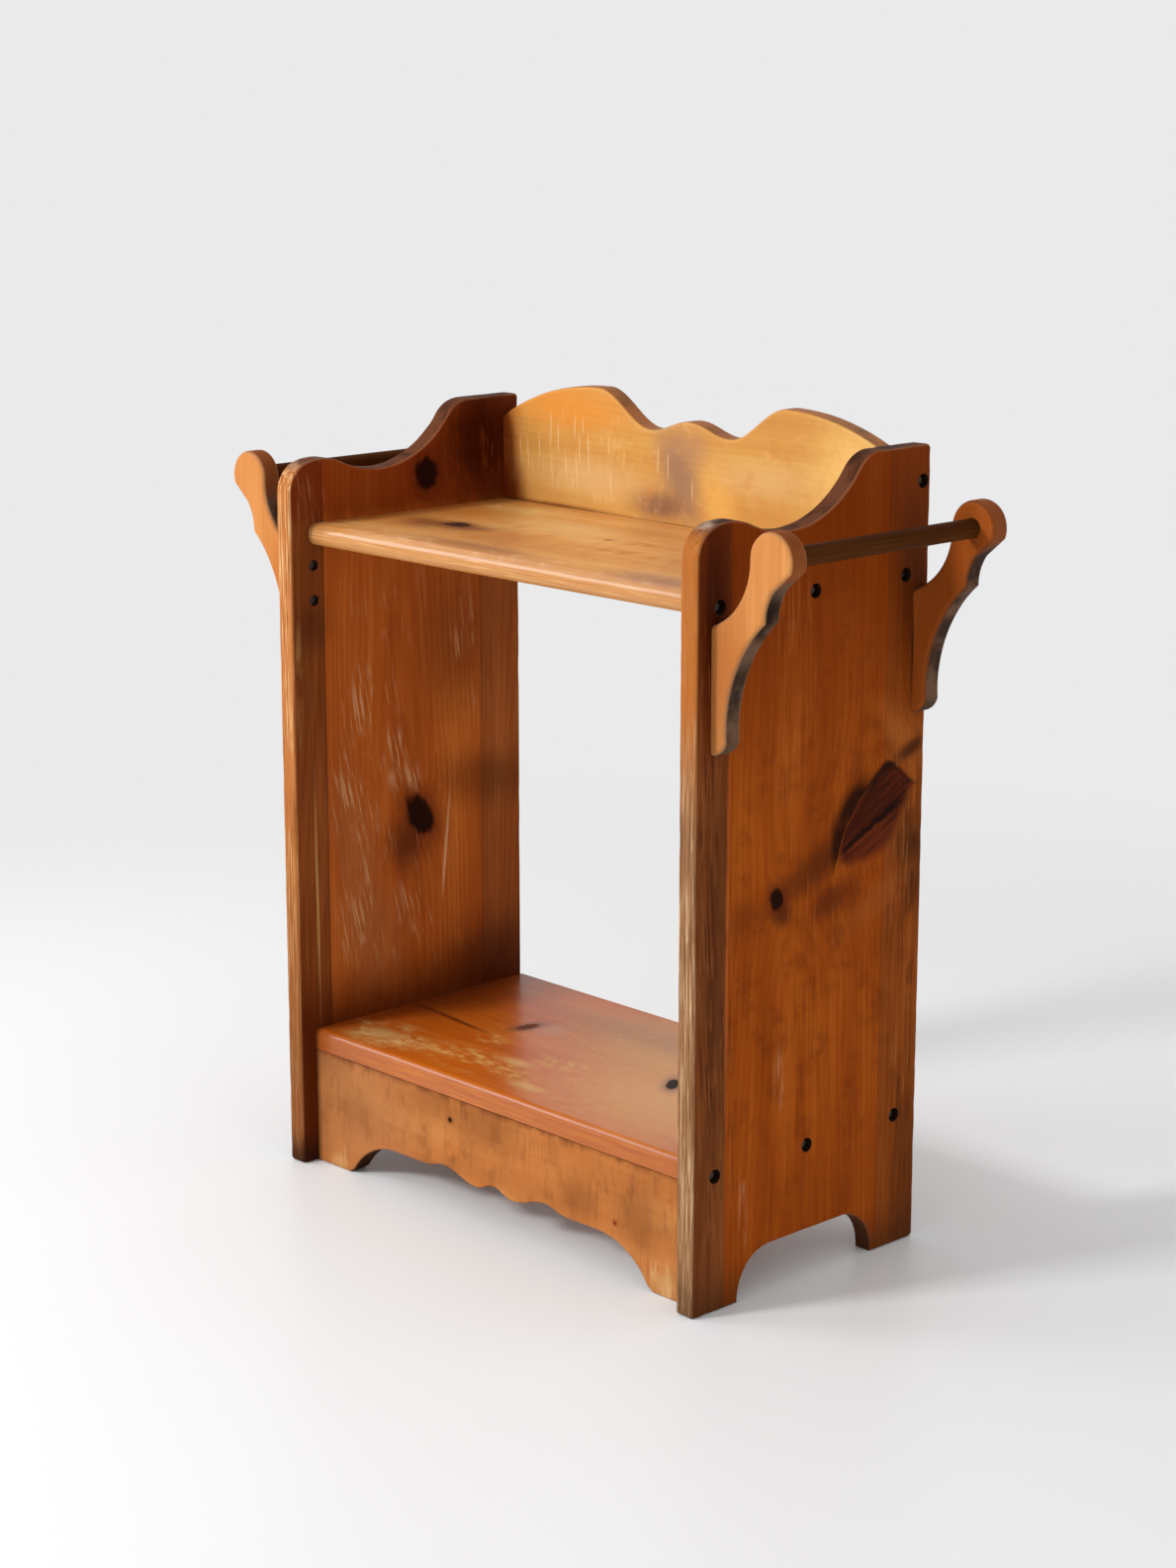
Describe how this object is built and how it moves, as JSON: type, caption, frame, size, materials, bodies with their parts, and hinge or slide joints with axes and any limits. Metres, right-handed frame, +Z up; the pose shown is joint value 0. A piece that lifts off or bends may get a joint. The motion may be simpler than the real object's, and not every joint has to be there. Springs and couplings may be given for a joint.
{
  "type": "washstand",
  "caption": "Pine washstand: scrolled side panels carry an upper and a lower shelf, with a scrolled backsplash, a scalloped front apron and a turning towel bar on brackets at each side.",
  "frame": {"origin": "on the floor, midway between the side panels and midway from front to back", "axes": "+X to the stand's right as it is faced, +Y to its back, +Z up"},
  "size_m": [0.6746, 0.267, 0.6925],
  "materials": {
    "reddish_pine": "red-brown stained and varnished pine, worn along its edges",
    "orange_pine": "orange varnished pine with knots, glossy",
    "pale_orange_pine": "pale orange varnished pine with a stain",
    "worn_orange_pine": "orange pine, streaked and worn",
    "light_pine": "light orange pine with darker sawn edges",
    "dark_dowel": "dark brown stained dowel",
    "dark_steel": "darkened steel wood screws"
  },
  "bodies": {
    "stand": {"backsplash": "pale_orange_pine", "backsplash_screw_left": "dark_steel", "backsplash_screw_right": "dark_steel", "bracket_screw_left_front_lower": "dark_steel", "bracket_screw_left_front_upper": "dark_steel", "bracket_screw_left_rear_lower": "dark_steel", "bracket_screw_left_rear_upper": "dark_steel", "bracket_screw_right_front_lower": "dark_steel", "bracket_screw_right_front_upper": "dark_steel", "bracket_screw_right_rear_lower": "dark_steel", "bracket_screw_right_rear_upper": "dark_steel", "front_apron": "worn_orange_pine", "left_side_centre_board": "reddish_pine", "left_side_front_strip": "reddish_pine", "left_side_rear_strip": "reddish_pine", "lower_shelf": "orange_pine", "lower_shelf_screw_left_front": "dark_steel", "lower_shelf_screw_left_middle": "dark_steel", "lower_shelf_screw_left_rear": "dark_steel", "lower_shelf_screw_right_front": "dark_steel", "lower_shelf_screw_right_middle": "dark_steel", "lower_shelf_screw_right_rear": "dark_steel", "right_side_centre_board": "reddish_pine", "right_side_front_strip": "reddish_pine", "right_side_rear_strip": "reddish_pine", "towel_bracket_left_front": "light_pine", "towel_bracket_left_rear": "light_pine", "towel_bracket_right_front": "light_pine", "towel_bracket_right_rear": "light_pine", "upper_shelf": "orange_pine", "upper_shelf_screw_left_front": "dark_steel", "upper_shelf_screw_left_middle": "dark_steel", "upper_shelf_screw_left_rear": "dark_steel", "upper_shelf_screw_right_front": "dark_steel", "upper_shelf_screw_right_middle": "dark_steel", "upper_shelf_screw_right_rear": "dark_steel"},
    "left_towel_bar": {"towel_bar_left": "dark_dowel"},
    "right_towel_bar": {"towel_bar_right": "dark_dowel"}
  },
  "joints": [
    {"name": "left_towel_bar_turn", "type": "hinge", "parent": "stand", "child": "left_towel_bar", "pos_m": [-0.3153, 0, 0.616], "axis": [0, 1, 0], "continuous": true},
    {"name": "right_towel_bar_turn", "type": "hinge", "parent": "stand", "child": "right_towel_bar", "pos_m": [0.3153, 0, 0.616], "axis": [0, 1, 0], "continuous": true}
  ]
}
